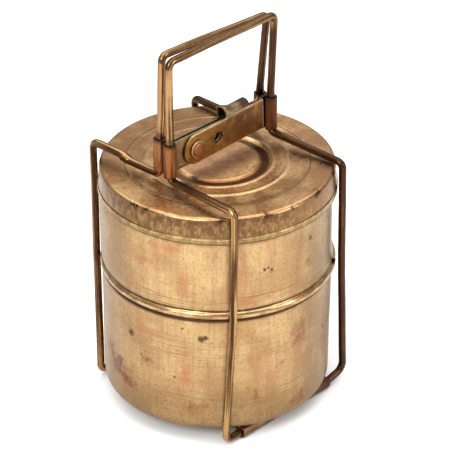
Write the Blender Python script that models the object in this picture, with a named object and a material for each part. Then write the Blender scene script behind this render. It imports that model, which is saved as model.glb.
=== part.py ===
"""Tiffin carrier: two stacked spun-brass bowls and a lid, held between two bent-rod half-frames.

The half-frames swing out on a base plate and are locked together over the lid by a hooked latch lever.
Metres, +Z up. The origin is under the middle of the base plate; +X runs along the handle, -Y is the
side of the latch lever.
"""
import math

import bmesh
import bpy
from mathutils import Matrix, Vector

MM = 0.001

# ---- driving dimensions, in millimetres -------------------------------------------------------------
GAP = 0.3                  # running gap between pieces that touch
ROD_R = 2.1                # bent rod of the half-frames
STRIP = 1.2                # base plate and cross plates
SHEET = 1.1                # spun bowls and lid
LATHE_STEPS = 56

BARREL_R = ROD_R + GAP + STRIP          # outside of a sheet rolled round the rod
ROLL_R = BARREL_R - STRIP / 2           # middle of that sheet
PRESSED = 15                            # degrees each side of the barrels' flattened undersides
FRONT_HINGE_Y, REAR_HINGE_Y = -48.6, 50.7   # swing axes of the half-frames
HINGE_Z = ROLL_R * math.cos(math.radians(PRESSED)) + STRIP / 2
BASE_X = (-32.3, 36.5)
BASE_TOP = HINGE_Z + BARREL_R

BOWL_Z = BASE_TOP + GAP                 # underside of the lower bowl
LOWER_R, LOWER_H = 62.8, 72.6
LOWER_TAPER = 0.4                       # the wall draws in this much towards its foot
BEAD_R, BEAD_H = 65.1, 4.8              # half-round bead under the upper bowl
FOOT_R, FOOT_H = 61.2, 6.2              # foot that nests in the lower bowl
UPPER_R, UPPER_H = 63.1, 60.9           # above the lower bowl's rim
NECK_R, NECK_H = 62.3, 14.6             # necked-in rim under the lid
LID_TOP_R, LID_SKIRT_R = 63.85, 65.0
LID_SKIRT_H = 15.3
HEM_H = 3.7

LOOP_Y = 4.5                            # handle legs, each side of the middle
PLATE_Z, PLATE_HALF_H = 158.2, 8.5      # cross plates
SLEEVE_Z = (150.9, 168.9)               # their rolled ends on the handle's legs

LEVER_T = 1.5
LEVER_LEFT, LEVER_RIGHT = -28.4, 30.6
RIVET_X, RIVET_Z = -19.0, 158.1
PADLOCK_X, PADLOCK_R = -2.8, 3.2
HOOK_X = (4.5, 21.5)                    # the hook over both plates
LEVER_TILT = 2.3                        # degrees, the lever rests a little nose-up

RIM_Z = BOWL_Z + LOWER_H                # rim of the lower bowl
LID_Z = RIM_Z + GAP + UPPER_H + GAP + SHEET   # top face of the lid


# ---- small geometry helpers -------------------------------------------------------------------------
def material(name, colour, roughness, metallic=1.0):
    """A Principled material with the piece's colour."""
    mat = bpy.data.materials.new(name)
    mat.use_nodes = True
    shader = mat.node_tree.nodes["Principled BSDF"]
    shader.inputs["Base Color"].default_value = (*colour, 1.0)
    shader.inputs["Roughness"].default_value = roughness
    shader.inputs["Metallic"].default_value = metallic
    mat.diffuse_color = (*colour, 1.0)
    return mat


def add_object(name, data, mat, parent=None):
    """Link a mesh or curve as a named object, keeping its shape in world coordinates."""
    obj = bpy.data.objects.new(name, data)
    bpy.context.scene.collection.objects.link(obj)
    data.materials.append(mat)
    if parent is not None:
        obj.parent = parent
        obj.matrix_parent_inverse = Matrix.Translation(-world_origin(parent))
    return obj


def world_origin(empty):
    """World position of an empty, through its chain of parents."""
    if empty.parent is None:
        return empty.location.copy()
    return empty.location + world_origin(empty.parent)


def axis_empty(name, location, parent=None):
    """An empty on a joint's axis; the pieces that move with the joint are parented to it."""
    empty = bpy.data.objects.new(name, None)
    empty.empty_display_size = 0.01
    empty.location = Vector(location) * MM
    bpy.context.scene.collection.objects.link(empty)
    if parent is not None:
        empty.location -= world_origin(parent)
        empty.parent = parent
    return empty


def rounded(corners, closed=False, arc_steps=4):
    """Polyline through (point, bend radius) corners, with each bend as an arc."""
    points = [Vector(p) for p, _ in corners]
    path = []
    for i, (_, radius) in enumerate(corners):
        here = points[i]
        at_end = not closed and i in (0, len(corners) - 1)
        if at_end or radius <= 0:
            path.append(here)
            continue
        back = (points[i - 1] - here).normalized()
        ahead = (points[(i + 1) % len(points)] - here).normalized()
        half = back.angle(ahead) / 2
        reach = radius / math.tan(half)
        centre = here + (back + ahead).normalized() * radius / math.sin(half)
        start, end = here + back * reach - centre, here + ahead * reach - centre
        sweep = start.angle(end)
        for k in range(arc_steps + 1):
            t = k / arc_steps
            blend = start * math.sin((1 - t) * sweep) + end * math.sin(t * sweep)
            path.append(centre + blend / math.sin(sweep))
    return path


def arc(centre, radius, start, stop, steps):
    """Points (u, v) on a circle, from one angle to another in degrees."""
    angles = [math.radians(start + (stop - start) * k / steps) for k in range(steps + 1)]
    return [Vector((centre[0] + radius * math.cos(a), centre[1] + radius * math.sin(a))) for a in angles]


def lathe(name, profile, mat, parent):
    """A closed body of revolution about Z from an (r, z) outline that starts and ends on the axis."""
    mesh = bpy.data.meshes.new(name)
    verts = [(r * MM, 0.0, z * MM) for r, z in profile]
    mesh.from_pydata(verts, [(i, i + 1) for i in range(len(verts) - 1)], [])
    obj = add_object(name, mesh, mat, parent)
    screw = obj.modifiers.new("spin", "SCREW")
    screw.steps = screw.render_steps = LATHE_STEPS
    screw.use_merge_vertices = True
    screw.merge_threshold = 1e-5
    screw.use_normal_calculate = True
    return obj


def bent_strip(name, path, thickness, spans, place, mat, parent=None):
    """A sheet of even thickness bent along a path and extruded sideways.

    spans holds the low and high side of the sheet at each path point, and place turns
    (u, v, side) into a world position.
    """
    bm = bmesh.new()
    rings = []
    for i, here in enumerate(path):
        back = here - path[i - 1] if i else path[1] - here
        ahead = path[i + 1] - here if i + 1 < len(path) else back
        along = (back.normalized() + ahead.normalized()).normalized()
        widen = 1 / max(along.dot(ahead.normalized()), 0.5)
        normal = Vector((-along.y, along.x)) * thickness / 2 * widen
        low, high = spans[i]
        corners = [(here + normal, low), (here + normal, high), (here - normal, high), (here - normal, low)]
        rings.append([bm.verts.new(Vector(place(p.x, p.y, side)) * MM) for p, side in corners])
    for one, two in zip(rings, rings[1:]):
        for k in range(4):
            bm.faces.new((one[k], one[(k + 1) % 4], two[(k + 1) % 4], two[k]))
    bm.faces.new(reversed(rings[0]))
    bm.faces.new(rings[-1])
    bmesh.ops.recalc_face_normals(bm, faces=bm.faces)
    mesh = bpy.data.meshes.new(name)
    bm.to_mesh(mesh)
    bm.free()
    return add_object(name, mesh, mat, parent)


def plate_from_outline(name, outline, y_low, y_high, mat, parent=None):
    """A flat sheet cut to an (x, z) outline, between two y values."""
    bm = bmesh.new()
    face = bm.faces.new([bm.verts.new(Vector((x, y_low, z)) * MM) for x, z in outline])
    grown = bmesh.ops.extrude_face_region(bm, geom=[face])
    moved = [v for v in grown["geom"] if isinstance(v, bmesh.types.BMVert)]
    bmesh.ops.translate(bm, vec=(0, (y_high - y_low) * MM, 0), verts=moved)
    bmesh.ops.recalc_face_normals(bm, faces=bm.faces)
    mesh = bpy.data.meshes.new(name)
    bm.to_mesh(mesh)
    bm.free()
    return add_object(name, mesh, mat, parent)


def turned_along_y(name, profile, x, z, mat, parent, steps=24):
    """A small round body about an axis along Y through (x, z), from an (r, y) outline on the axis."""
    bm = bmesh.new()
    rings = []
    for r, y in profile:
        if r == 0:
            rings.append([bm.verts.new(Vector((x, y, z)) * MM)])
            continue
        turns = [2 * math.pi * k / steps for k in range(steps)]
        rings.append([bm.verts.new(Vector((x + r * math.cos(a), y, z + r * math.sin(a))) * MM) for a in turns])
    closed = profile[0][0] > 0
    pairs = list(zip(rings, rings[1:] + rings[:1])) if closed else list(zip(rings, rings[1:]))
    for one, two in pairs:
        for k in range(steps):
            n = (k + 1) % steps
            corners = [one[k % len(one)], one[n % len(one)], two[n % len(two)], two[k % len(two)]]
            bm.faces.new(list(dict.fromkeys(corners)))
    bmesh.ops.recalc_face_normals(bm, faces=bm.faces)
    mesh = bpy.data.meshes.new(name)
    bm.to_mesh(mesh)
    bm.free()
    return add_object(name, mesh, mat, parent)


def hide_tool(obj):
    """Show a boolean tool as wires only."""
    obj.hide_render = True
    obj.display_type = "WIRE"


def combine(obj, tool, operation):
    """Join or cut an object with a tool object."""
    step = obj.modifiers.new(tool.name, "BOOLEAN")
    step.operation = operation
    step.solver = "EXACT"
    step.object = tool
    tool.parent = obj.parent
    tool.matrix_parent_inverse = obj.matrix_parent_inverse
    hide_tool(tool)


def drill(obj, name, x, z, radius, mat, depth=12.0, y=0.0, steps=24):
    """A round hole along Y."""
    tool = turned_along_y(name, [(0, y - depth), (radius, y - depth), (radius, y + depth), (0, y + depth)],
                          x, z, mat, None, steps)
    combine(obj, tool, "DIFFERENCE")


# ---- the pieces -------------------------------------------------------------------------------------
def build_base_plate(mat):
    """Flat strip under the bowl; both ends are rolled under, round the bottom runs of the rods.

    The undersides of the rolled ends are pressed flat, and the carrier stands on them.
    """
    low, high = 270 - PRESSED, 270 + PRESSED
    barrel = arc((0, HINGE_Z), ROLL_R, high + 100, high, 5) + arc((0, HINGE_Z), ROLL_R, low, 90, 9)
    path = [Vector((FRONT_HINGE_Y + p.x, p.y)) for p in barrel]
    path += [Vector((REAR_HINGE_Y - p.x, p.y)) for p in reversed(barrel)]
    spans = [BASE_X] * len(path)
    return bent_strip("base_plate", path, STRIP, spans, lambda y, z, x: (x, y, z), mat)


def build_lower_bowl(mat, parent):
    """Straight-sided bowl with a rounded bottom corner and a softened rim."""
    inner = LOWER_R - SHEET
    top = BOWL_Z + LOWER_H
    outline = rounded([
        ((0, BOWL_Z + SHEET, 0), 0),
        ((inner - LOWER_TAPER, BOWL_Z + SHEET, 0), 4.4),
        ((inner, top, 0), 0.35),
        ((LOWER_R, top, 0), 0.35),
        ((LOWER_R - LOWER_TAPER, BOWL_Z, 0), 5.5),
        ((0, BOWL_Z, 0), 0),
    ], arc_steps=5)
    return lathe("lower_bowl", [(p.x, p.y) for p in outline], mat, parent)


def build_upper_bowl(mat, parent):
    """Bowl with a nesting foot, a half-round bead on the lower rim and a necked-in rim for the lid."""
    floor = RIM_Z - FOOT_H
    seat = RIM_Z + GAP
    top = seat + UPPER_H
    neck = top - NECK_H
    inner_foot = FOOT_R - SHEET
    inner_wall = UPPER_R - SHEET
    bead = arc((UPPER_R - 0.9, seat + BEAD_H / 2), BEAD_H / 2, 60, -90, 8)
    stretch = (BEAD_R - UPPER_R + 0.9) / (BEAD_H / 2)
    bead = [(UPPER_R - 0.9 + (p.x - UPPER_R + 0.9) * stretch, p.y) for p in bead]
    inside = rounded([
        ((0, floor + SHEET, 0), 0),
        ((inner_foot, floor + SHEET, 0), 2.5),
        ((inner_foot, seat + 1.2, 0), 1.5),
        ((inner_wall, seat + 3.4, 0), 1.5),
        ((inner_wall, neck, 0), 0),
        ((NECK_R - SHEET, neck + 1.2, 0), 0),
        ((NECK_R - SHEET, top, 0), 0.3),
        ((NECK_R, top, 0), 0.3),
        ((NECK_R, neck + 1.2, 0), 0),
        ((UPPER_R, neck, 0), 0),
    ], arc_steps=3)
    foot = rounded([
        ((FOOT_R, seat, 0), 0),
        ((FOOT_R, floor, 0), 3.6),
        ((0, floor, 0), 0),
    ], arc_steps=4)
    outline = [(p.x, p.y) for p in inside] + bead + [(p.x, p.y) for p in foot]
    return lathe("upper_bowl", outline, mat, parent)


def lid_relief(r):
    """Height of the lid's pressed rings above or below its top face, at radius r."""
    steps = [(0, 0.3), (22.0, 0.3), (24.0, -0.9), (27.6, -0.9), (29.7, 0.45), (31.5, 0.0),
             (38.2, 0.0), (39.4, -0.35), (49.0, -0.35), (50.6, 0.0), (70.0, 0.0)]
    for (r0, h0), (r1, h1) in zip(steps, steps[1:]):
        if r0 <= r <= r1:
            return h0 + (h1 - h0) * (r - r0) / (r1 - r0)
    return 0.0


def build_lid(mat, parent):
    """Flat-topped cap with pressed rings, a slightly flared skirt and a hemmed lower edge."""
    rings = (0, 22.0, 24.0, 27.6, 29.7, 31.5, 38.2, 39.4, 49.0, 50.6)
    under = [(r, LID_Z - SHEET + lid_relief(r)) for r in rings]
    above = [(r, LID_Z + lid_relief(r)) for r in reversed(rings)]
    bottom = LID_Z - LID_SKIRT_H
    side = rounded([
        ((56.0, LID_Z - SHEET, 0), 0),
        ((LID_TOP_R - SHEET, LID_Z - SHEET, 0), 1.0),
        ((LID_SKIRT_R - SHEET, bottom, 0), 0),
        ((LID_SKIRT_R + 0.15, bottom, 0), 0.5),
        ((LID_SKIRT_R + 0.15, bottom + HEM_H, 0), 0.3),
        ((LID_SKIRT_R - 0.28, bottom + HEM_H + 0.2, 0), 0),
        ((LID_TOP_R, LID_Z, 0), 2.1),
        ((56.0, LID_Z, 0), 0),
    ], arc_steps=4)
    return lathe("lid", under + [(p.x, p.y) for p in side] + above, mat, parent)


def build_frame_rod(name, corners, mat, parent):
    """One closed loop of round rod: handle, two legs, two arms and the run under the base plate."""
    path = rounded(corners, closed=True, arc_steps=5)
    curve = bpy.data.curves.new(name, "CURVE")
    curve.dimensions = "3D"
    curve.fill_mode = "FULL"
    curve.bevel_depth = ROD_R * MM
    curve.bevel_resolution = 3
    spline = curve.splines.new("POLY")
    spline.points.add(len(path) - 1)
    for point, where in zip(spline.points, path):
        point.co = (*(where * MM), 1.0)
    spline.use_cyclic_u = True
    return add_object(name, curve, mat, parent)


def front_frame_corners(sleeves):
    """Bend points and radii of the front half-frame: loop, far side down, bottom run, near side up."""
    near, far = sleeves
    kink_z = SLEEVE_Z[1] + 3.1
    return [
        ((-39.4, -LOOP_Y, 216.8), 3.6),
        ((39.0, -LOOP_Y, 217.5), 3.6),
        ((far, -LOOP_Y, kink_z), 14),
        ((far, -LOOP_Y, LID_Z + 5.1), 3.6),
        ((41.3, -53.6, LID_Z + 2.1), 3.6),
        ((44.9, -51.2, 75.0), 60),
        ((50.4, -48.7, 6.6), 6),
        ((38.4, FRONT_HINGE_Y, HINGE_Z), 3.6),
        ((-43.2, FRONT_HINGE_Y, HINGE_Z), 3.6),
        ((-41.8, -53.2, 84.0), 60),
        ((-41.3, -53.7, LID_Z + 5.8), 3.6),
        ((near, -LOOP_Y, LID_Z + 4.6), 3.6),
        ((near, -LOOP_Y, kink_z), 14),
    ]


def rear_frame_corners(sleeves):
    """The same for the rear half-frame, whose near arm steps up where the rod's ends are joined."""
    near, far = sleeves
    kink_z = SLEEVE_Z[1] + 3.1
    return [
        ((-35.7, LOOP_Y, 216.3), 3.6),
        ((42.6, LOOP_Y, 213.2), 3.6),
        ((far, LOOP_Y, kink_z), 14),
        ((far, LOOP_Y, LID_Z + 4.4), 3.6),
        ((37.8, 56.2, LID_Z + 2.6), 3.6),
        ((46.4, REAR_HINGE_Y, HINGE_Z + 7.5), 6),
        ((38.4, REAR_HINGE_Y, HINGE_Z), 3.6),
        ((-43.9, REAR_HINGE_Y, HINGE_Z), 3.6),
        ((-41.4, 53.8, LID_Z + 6.9), 3.6),
        ((-40.1, 33.5, LID_Z + 6.6), 6),
        ((-39.6, 27.0, LID_Z + 4.4), 6),
        ((near, LOOP_Y, LID_Z + 4.1), 3.6),
        ((near, LOOP_Y, kink_z), 14),
        ((-36.9, LOOP_Y, SLEEVE_Z[1] + 11.6), 20),
    ]


def build_cross_plate(name, side, sleeves, mat, parent):
    """Strip between the handle's legs; its ends wrap outward round the legs as tall sleeves."""
    near, far = sleeves
    inside_y = side * (LOOP_Y - ROLL_R)
    wrap = 285
    start = -90 * side
    near_roll = arc((near, side * LOOP_Y), ROLL_R, start - side * wrap, start, 14)
    far_roll = arc((far, side * LOOP_Y), ROLL_R, start, start + side * wrap, 14)
    plain = [Vector((near + 5.0, inside_y)), Vector((near + 6.5, inside_y)),
             Vector((far - 6.5, inside_y)), Vector((far - 5.0, inside_y))]
    path = near_roll + plain + far_roll
    sleeve = SLEEVE_Z
    strip = (PLATE_Z - PLATE_HALF_H, PLATE_Z + PLATE_HALF_H)
    shoulder = (sleeve[0] + 0.3, sleeve[1] - 0.4)
    spans = [sleeve] * len(near_roll) + [shoulder, strip, strip, shoulder] + [sleeve] * len(far_roll)
    plate = bent_strip(name, path, STRIP, spans, lambda x, y, z: (x, y, z), mat, parent)
    drill(plate, name + "_padlock_tool", PADLOCK_X, PLATE_Z + 0.6, PADLOCK_R, mat)
    if side < 0:
        drill(plate, name + "_rivet_tool", RIVET_X, RIVET_Z, 2.6, mat)
    return plate


def build_latch_lever(mat, parent):
    """Flat lever on the rivet, with a hook folded over both cross plates."""
    plate_front = -(LOOP_Y - BARREL_R + STRIP)
    back_y = plate_front - GAP
    front_y = back_y - LEVER_T
    middle_y = (front_y + back_y) / 2
    half = PLATE_HALF_H + 0.3
    mid_z = RIVET_Z
    outline = [(p.x, p.y) for p in arc((LEVER_LEFT + half + 0.6, mid_z), half, 90, 270, 12)]
    outline += [(LEVER_RIGHT, mid_z - half), (LEVER_RIGHT, mid_z + half)]
    lever = plate_from_outline("latch_lever", outline, front_y, back_y, mat, parent)

    crown = -middle_y
    foot_z = mid_z + half - 2.2
    top_z = mid_z + half + 0.2
    lip_z = PLATE_Z + PLATE_HALF_H - 5.0
    bend = [Vector((middle_y, foot_z)), Vector((middle_y, foot_z + 1.2))]
    bend += arc((0, top_z), crown, 180, 0, 12)
    bend += [Vector((crown, lip_z))]
    hook = bent_strip("latch_hook_tool", bend, LEVER_T - 0.2, [HOOK_X] * len(bend),
                      lambda y, z, x: (x, y, z), mat)
    combine(lever, hook, "UNION")

    drill(lever, "latch_padlock_tool", PADLOCK_X, mid_z, PADLOCK_R, mat, depth=2.5, y=middle_y)
    drill(lever, "latch_rivet_tool", RIVET_X, mid_z, 2.75, mat, depth=2.5, y=middle_y)
    return lever


def build_rivet(copper, brass, parent):
    """Copper rivet with a low domed head on a brass washer, headed over behind the front plate."""
    plate_front = -(LOOP_Y - BARREL_R + STRIP)
    plate_back = plate_front + STRIP
    lever_front = plate_front - GAP - LEVER_T
    washer = [(2.7, lever_front - GAP), (5.05, lever_front - GAP),
              (5.05, lever_front - GAP - 0.7), (4.5, lever_front - GAP - 1.0), (2.7, lever_front - GAP - 1.0)]
    turned_along_y("rivet_washer", washer, RIVET_X, RIVET_Z, brass, parent)
    head_y = lever_front - GAP - 1.0 - 0.1
    rivet = [(0, head_y - 1.3), (2.0, head_y - 1.2), (3.5, head_y - 0.75), (4.1, head_y - 0.2), (4.1, head_y),
             (2.45, head_y), (2.45, plate_back + 0.1), (3.6, plate_back + 0.1), (3.4, plate_back + 0.6),
             (0, plate_back + 0.75)]
    turned_along_y("latch_rivet", rivet, RIVET_X, RIVET_Z, copper, parent)


# ---- assembly ---------------------------------------------------------------------------------------
def main():
    for old in list(bpy.data.objects):
        bpy.data.objects.remove(old, do_unlink=True)

    bowl_brass = material("bowl_brass", (0.62, 0.40, 0.19), 0.38)
    lid_brass = material("lid_brass", (0.42, 0.24, 0.11), 0.34)
    rod_brass = material("rod_brass", (0.30, 0.17, 0.07), 0.36)
    plate_brass = material("plate_brass", (0.22, 0.14, 0.07), 0.45)
    lever_brass = material("lever_brass", (0.34, 0.20, 0.06), 0.42)
    rivet_copper = material("rivet_copper", (0.45, 0.15, 0.09), 0.40)

    upper_axis = axis_empty("upper_bowl_lift_axis", (0, 0, RIM_Z))
    lid_axis = axis_empty("lid_lift_axis", (0, 0, LID_Z))
    front_axis = axis_empty("front_frame_open_axis", (0, FRONT_HINGE_Y, HINGE_Z))
    rear_axis = axis_empty("rear_frame_open_axis", (0, REAR_HINGE_Y, HINGE_Z))
    latch_axis = axis_empty("latch_lift_axis", (RIVET_X, -3.0, RIVET_Z), front_axis)

    build_base_plate(plate_brass)
    build_lower_bowl(bowl_brass, None)
    build_upper_bowl(bowl_brass, upper_axis)
    build_lid(lid_brass, lid_axis)

    front_sleeves, rear_sleeves = (-39.6, 36.6), (-38.2, 37.6)
    front = front_frame_corners(front_sleeves)
    rear = rear_frame_corners(rear_sleeves)
    build_frame_rod("front_frame_rod", front, rod_brass, front_axis)
    build_frame_rod("rear_frame_rod", rear, rod_brass, rear_axis)
    build_cross_plate("front_cross_plate", -1, front_sleeves, plate_brass, front_axis)
    build_cross_plate("rear_cross_plate", 1, rear_sleeves, plate_brass, rear_axis)
    build_rivet(rivet_copper, plate_brass, front_axis)
    build_latch_lever(lever_brass, latch_axis)
    latch_axis.rotation_euler.y = -math.radians(LEVER_TILT)


main()
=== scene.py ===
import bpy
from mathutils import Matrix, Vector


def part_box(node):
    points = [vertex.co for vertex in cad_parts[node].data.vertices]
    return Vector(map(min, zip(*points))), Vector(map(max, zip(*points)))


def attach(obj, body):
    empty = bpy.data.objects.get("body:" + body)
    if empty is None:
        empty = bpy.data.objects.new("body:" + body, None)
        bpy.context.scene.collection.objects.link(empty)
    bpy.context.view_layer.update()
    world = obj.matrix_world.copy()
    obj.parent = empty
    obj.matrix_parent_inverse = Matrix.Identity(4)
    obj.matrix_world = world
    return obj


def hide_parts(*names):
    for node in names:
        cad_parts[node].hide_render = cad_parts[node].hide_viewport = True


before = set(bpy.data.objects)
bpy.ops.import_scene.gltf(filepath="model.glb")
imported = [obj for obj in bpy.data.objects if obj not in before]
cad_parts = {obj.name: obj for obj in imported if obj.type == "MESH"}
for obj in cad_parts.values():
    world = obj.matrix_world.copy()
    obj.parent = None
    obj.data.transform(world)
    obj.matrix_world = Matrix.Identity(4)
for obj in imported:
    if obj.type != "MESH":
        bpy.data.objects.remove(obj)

"""The looks of the tiffin carrier: finely spun bowls and lid, hand-bent rods, rolled plates, the latch,
tarnished brass and copper, a pale floor, studio light and the camera.

Lengths are in millimetres until they are put into a mesh. +Z is up, +X runs along the handle and -Y is
the side of the latch lever.
"""
import math

import bmesh
import bpy
from mathutils import Matrix, Vector, noise

MM = 0.001
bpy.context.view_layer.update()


def node_box(name):
    """Lowest and highest corner of a CAD node, in millimetres."""
    low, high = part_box(name)
    return low / MM, high / MM


# ---- sizes, from the frame ----
GAP, SHEET, STRIP, LEVER_T = 0.3, 1.1, 1.2, 1.5
ROD_R = 2.1
BARREL_R = ROD_R + GAP + STRIP
ROLL_R = BARREL_R - STRIP / 2

lower_low, lower_high = node_box("lower_bowl")
upper_low, upper_high = node_box("upper_bowl")
lid_low, lid_high = node_box("lid")
base_low, base_high = node_box("base_plate")
front_plate_low, front_plate_high = node_box("front_cross_plate")
rear_plate_low, rear_plate_high = node_box("rear_cross_plate")
washer_low, washer_high = node_box("rivet_washer")

LOWER_R, BOWL_Z, RIM_Z = lower_high.x, lower_low.z, lower_high.z
TAPER = 0.4
BEAD_R, FLOOR_Z, UPPER_TOP = upper_high.x, upper_low.z, upper_high.z
SEAT_Z = RIM_Z + GAP
UPPER_R, FOOT_R, NECK_R = BEAD_R - 1.7, BEAD_R - 3.9, BEAD_R - 2.8
LID_R, LID_BOTTOM = lid_high.x - 0.15, lid_low.z
LID_TOP_Z = UPPER_TOP + GAP + SHEET
FRONT_HINGE_Y, REAR_HINGE_Y = base_low.y + BARREL_R, base_high.y - BARREL_R
HINGE_Z = base_high.z - BARREL_R
LOOP_Y = -(front_plate_low.y + BARREL_R)
RIVET_X = (washer_low.x + washer_high.x) / 2
RIVET_Z = (washer_low.z + washer_high.z) / 2
PLATE_HALF_H, PLATE_Z = 8.5, front_plate_high.z - 10.7
SLEEVE_LOW, SLEEVE_HIGH = front_plate_low.z, front_plate_high.z
FRONT_SLEEVES = (front_plate_low.x + BARREL_R, front_plate_high.x - BARREL_R)
REAR_SLEEVES = (rear_plate_low.x + BARREL_R, rear_plate_high.x - BARREL_R)
LEVER_TILT = math.radians(2.3)
LEVER_END = front_plate_high.x - 2 * BARREL_R - 1.2
PADLOCK_X = RIVET_X + 16.2
PLATE_FRONT = -(LOOP_Y - BARREL_R + STRIP)      # front face of the front cross plate
LEVER_HALF_H = PLATE_HALF_H + 0.3
BEAD_HALF_H = 2.4
BEND_R, KINK_R = 3.6, 14                        # the rods' tight bends, and the loose one over the sleeves
KINK_Z = SLEEVE_HIGH + 3.1
BRAZE = Vector((-39.85, 30.0, LID_TOP_Z + 5.5))
CREST_R, RING_R = 29.9, 38.6                    # raised rings pressed into the lid
WALL_STEPS = 192                                # faces round the bowls and the lid
LEAN = (-0.705, 0.709)                          # the way the bowls' walls lean
LONG_WOBBLE, SHORT_WOBBLE = 0.22, 0.05          # unevenness of the hand-bent rods
RUBBED_AND_SHEEN = 0.90                                   # strength of the rods' light lines: rubbed wear and painted reflection
NOISE_SEED = 1                                  # noise_vector differs from run to run without one


# ---- outlines ----
def rounded(corners, closed=False, arc_steps=8):
    """Polyline through (point, bend radius) corners, with each bend as an arc."""
    points = [Vector(p) for p, _ in corners]
    path = []
    for i, (_, radius) in enumerate(corners):
        here = points[i]
        if radius <= 0 or (not closed and i in (0, len(corners) - 1)):
            path.append(here)
            continue
        back = (points[i - 1] - here).normalized()
        ahead = (points[(i + 1) % len(points)] - here).normalized()
        half = back.angle(ahead) / 2
        reach = radius / math.tan(half)
        centre = here + (back + ahead).normalized() * radius / math.sin(half)
        start, end = here + back * reach - centre, here + ahead * reach - centre
        sweep = start.angle(end)
        for k in range(arc_steps + 1):
            t = k / arc_steps
            blend = start * math.sin((1 - t) * sweep) + end * math.sin(t * sweep)
            path.append(centre + blend / math.sin(sweep))
    return path


def outline_of(corners, arc_steps):
    """Flat outline through (u, v, bend radius) corners."""
    path = rounded([((u, v, 0), radius) for u, v, radius in corners], arc_steps=arc_steps)
    return [(p.x, p.y) for p in path]


def arc(centre, radius, start, stop, steps):
    """Points (u, v) on a circle, from one angle to another in degrees."""
    angles = [math.radians(start + (stop - start) * k / steps) for k in range(steps + 1)]
    return [Vector((centre[0] + radius * math.cos(a), centre[1] + radius * math.sin(a))) for a in angles]


def resampled(path, spacing, closed=False):
    """The same polyline with evenly spaced points, at most spacing apart."""
    points = list(path) + ([path[0]] if closed else [])
    out = []
    for one, two in zip(points, points[1:]):
        count = max(1, math.ceil((two - one).length / spacing))
        out += [one.lerp(two, k / count) for k in range(count)]
    return out if closed else out + [points[-1]]


def bow(value, low, high):
    """0 below low, 1 above high, smooth between."""
    t = min(max((value - low) / (high - low), 0.0), 1.0)
    return t * t * (3 - 2 * t)


def hump(value, middle, width):
    """A smooth bump of height 1."""
    return math.exp(-((value - middle) / width) ** 2)


# ---- mesh making ----
def new_object(name, data):
    """An object in the scene."""
    obj = bpy.data.objects.new(name, data)
    bpy.context.scene.collection.objects.link(obj)
    return obj


def mesh_object(name, bm):
    """An object from a bmesh in millimetres."""
    bmesh.ops.scale(bm, vec=(MM, MM, MM), verts=bm.verts)
    mesh = bpy.data.meshes.new(name)
    bm.to_mesh(mesh)
    bm.free()
    return new_object(name, mesh)


def piece_from(name, bm, mat, body, nodes=()):
    """Turn a bmesh in millimetres into a piece that rides on a body and stands for CAD nodes."""
    obj = mesh_object(name, bm)
    obj.data.polygons.foreach_set("use_smooth", [True] * len(obj.data.polygons))
    obj.data.materials.append(mat)
    if body:
        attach(obj, body)
    if nodes:
        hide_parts(*nodes)
    return obj


def grid_faces(bm, rings, around_closed, along_closed=False):
    """Skin rings of vertices with quads; a ring of one vertex is a pole."""
    pairs = list(zip(rings, rings[1:])) + ([(rings[-1], rings[0])] if along_closed else [])
    for one, two in pairs:
        count = max(len(one), len(two))
        for k in range(count if around_closed else count - 1):
            n = (k + 1) % count
            corners = [one[k % len(one)], one[n % len(one)], two[n % len(two)], two[k % len(two)]]
            bm.faces.new(list(dict.fromkeys(corners)))


def spun(profile, steps, warp):
    """A bmesh turned about Z from an (r, z) outline that starts and ends on the axis."""
    bm = bmesh.new()
    rings = []
    for r, z in profile:
        if r < 1e-6:
            rings.append([bm.verts.new((0, 0, z))])
            continue
        ring = []
        for k in range(steps):
            a = 2 * math.pi * k / steps
            dr, dz = warp(r, a, z)
            ring.append(bm.verts.new(((r + dr) * math.cos(a), (r + dr) * math.sin(a), z + dz)))
        rings.append(ring)
    grid_faces(bm, rings, around_closed=True)
    bmesh.ops.recalc_face_normals(bm, faces=bm.faces)
    return bm


def turned_along_y(profile, x, z, steps=48, ruffle=0.0):
    """A bmesh turned about an axis along Y through (x, z), from an (r, y) outline."""
    bm = bmesh.new()
    rings = []
    for r, y in profile:
        if r < 1e-6:
            rings.append([bm.verts.new((x, y, z))])
            continue
        ring = []
        for k in range(steps):
            a = 2 * math.pi * k / steps
            shake = ruffle * noise.noise(Vector((r * math.cos(a), r * math.sin(a), y)) * 0.8)
            out = r + shake
            ring.append(bm.verts.new((x + out * math.cos(a), y + shake, z + out * math.sin(a))))
        rings.append(ring)
    grid_faces(bm, rings, around_closed=True, along_closed=profile[0][0] > 1e-6)
    bmesh.ops.recalc_face_normals(bm, faces=bm.faces)
    return bm


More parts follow.
